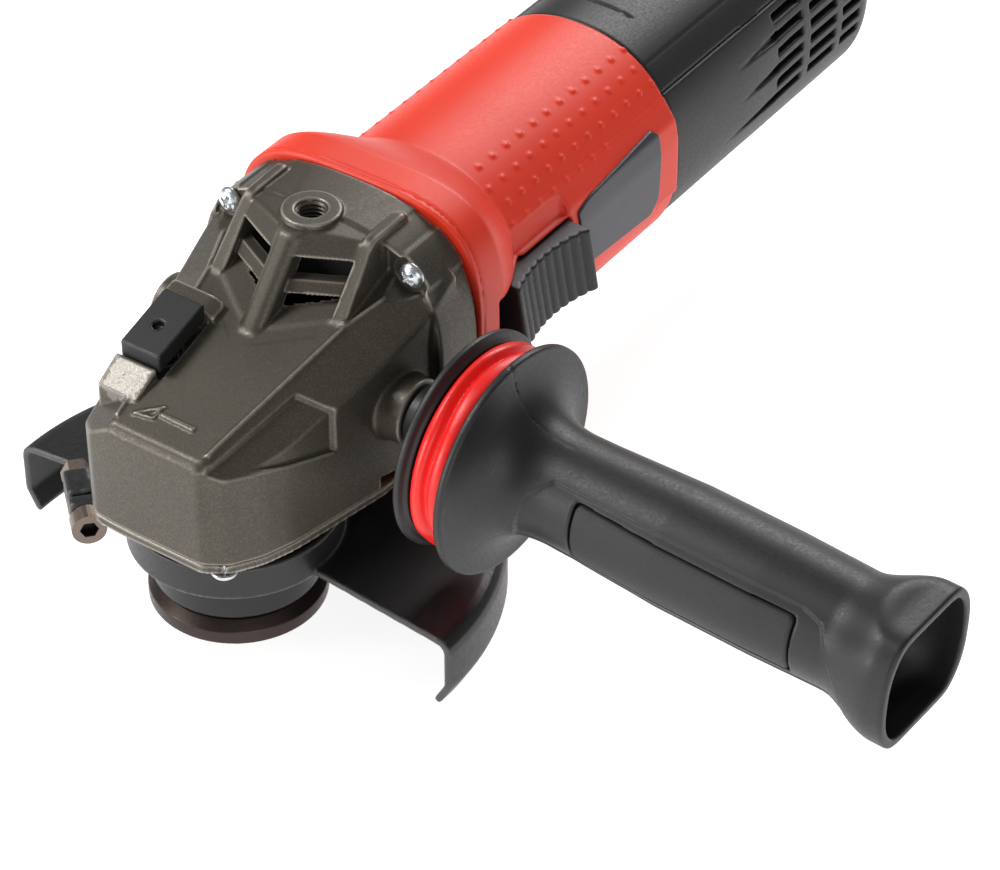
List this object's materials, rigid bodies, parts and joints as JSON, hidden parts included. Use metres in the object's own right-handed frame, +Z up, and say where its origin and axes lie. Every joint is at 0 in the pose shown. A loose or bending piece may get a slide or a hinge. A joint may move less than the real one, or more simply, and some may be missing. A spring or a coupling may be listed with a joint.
{
  "type": "angle grinder",
  "caption": "Hand-held angle grinder with a cast gear head, swivelling disc guard, slide switch, spindle lock and a side handle with a damping ring; no disc and no cord.",
  "frame": {"origin": "centre of the spindle's free end face", "axes": "+Z up along the spindle into the gear head; +Y back along the motor; +X out along the side handle"},
  "size_m": [0.2673, 0.312, 0.1101],
  "materials": {
    "casting_paint": "metallic satin paint on a die casting",
    "red_plastic": "fine satin",
    "black_plastic": "fine grain",
    "rubber": "matt",
    "damper_rubber": "glossy",
    "guard_paint": "semi-gloss black",
    "dark_steel": "black oxide",
    "steel": "ground",
    "zinc_screw": "bright zinc",
    "iron": "bare",
    "copper": "enamelled copper",
    "brass": "stamped",
    "carbon": "matt carbon",
    "badge_plastic": "satin"
  },
  "bodies": {
    "body": {"gear_housing": "casting_paint", "bearing_flange": "casting_paint", "flange_screw_1": "zinc_screw", "flange_screw_2": "zinc_screw", "flange_screw_3": "zinc_screw", "flange_screw_4": "zinc_screw", "housing_screw_1": "zinc_screw", "housing_screw_2": "zinc_screw", "housing_screw_3": "zinc_screw", "housing_screw_4": "zinc_screw", "handle_stud": "zinc_screw", "spindle_bearing": "steel", "bearing_retainer": "steel", "needle_bearing": "steel", "lock_spring": "steel", "front_bearing": "steel", "rear_bearing": "steel", "brush_spring_right": "steel", "brush_spring_left": "steel", "motor_housing": "red_plastic", "badge": "badge_plastic", "front_bearing_plate": "iron", "field_core": "iron", "rear_bearing_bracket": "black_plastic", "switch_body": "black_plastic", "rear_cover_top": "black_plastic", "rear_cover_bottom": "black_plastic", "cord_clamp": "black_plastic", "handle_grip": "black_plastic", "handle_inner_flange": "black_plastic", "field_coil_top": "copper", "field_coil_bottom": "copper", "brush_holder_right": "brass", "brush_holder_left": "brass", "rear_bearing_sleeve": "rubber", "handle_pad": "rubber", "handle_damper": "damper_rubber"},
    "armature": {"armature_shaft": "steel", "armature_core": "iron", "armature_winding_front": "copper", "armature_winding_rear": "copper", "commutator": "copper", "fan": "black_plastic", "pinion": "steel"},
    "spindle_group": {"spindle": "steel", "crown_gear": "steel", "inner_flange": "dark_steel", "lock_nut": "dark_steel"},
    "guard_group": {"guard": "guard_paint", "guard_clamp_screw": "dark_steel", "guard_clamp_nut": "dark_steel"},
    "lock": {"lock_button": "black_plastic", "lock_pin": "steel"},
    "slide_switch": {"switch_knob": "black_plastic", "switch_rod": "black_plastic"},
    "brush_r": {"brush_right": "carbon"},
    "brush_l": {"brush_left": "carbon"}
  },
  "joints": [
    {"name": "armature_spin", "type": "hinge", "parent": "body", "child": "armature", "pos_m": [0, 0.1, 0.067], "axis": [0, 1, 0], "continuous": true},
    {"name": "spindle_spin", "type": "hinge", "parent": "body", "child": "spindle_group", "pos_m": [0, 0, 0], "axis": [0, 0, 1], "continuous": true},
    {"name": "guard_turn", "type": "hinge", "parent": "body", "child": "guard_group", "pos_m": [0, 0, 0.03], "axis": [0, 0, 1], "range_deg": [-45, 105]},
    {"name": "lock_press", "type": "slide", "parent": "body", "child": "lock", "axis": [0, 0, -1], "range_m": [0, 0.0035], "stiffness_N_per_m": 1500, "springref_m": -0.0015, "deforming": ["lock_spring"]},
    {"name": "switch_slide", "type": "slide", "parent": "body", "child": "slide_switch", "axis": [0, -1, 0], "range_m": [0, 0.0065]},
    {"name": "brush_r_wear", "type": "slide", "parent": "body", "child": "brush_r", "axis": [1, 0, 0], "range_m": [0, 0.003], "stiffness_N_per_m": 300, "springref_m": -0.008, "deforming": ["brush_spring_right"]},
    {"name": "brush_l_wear", "type": "slide", "parent": "body", "child": "brush_l", "axis": [-1, 0, 0], "range_m": [0, 0.003], "stiffness_N_per_m": 300, "springref_m": -0.008, "deforming": ["brush_spring_left"]}
  ],
  "couplings": [
    {"joint": "spindle_spin", "follows": "armature_spin", "ratio": 0.2973}
  ]
}
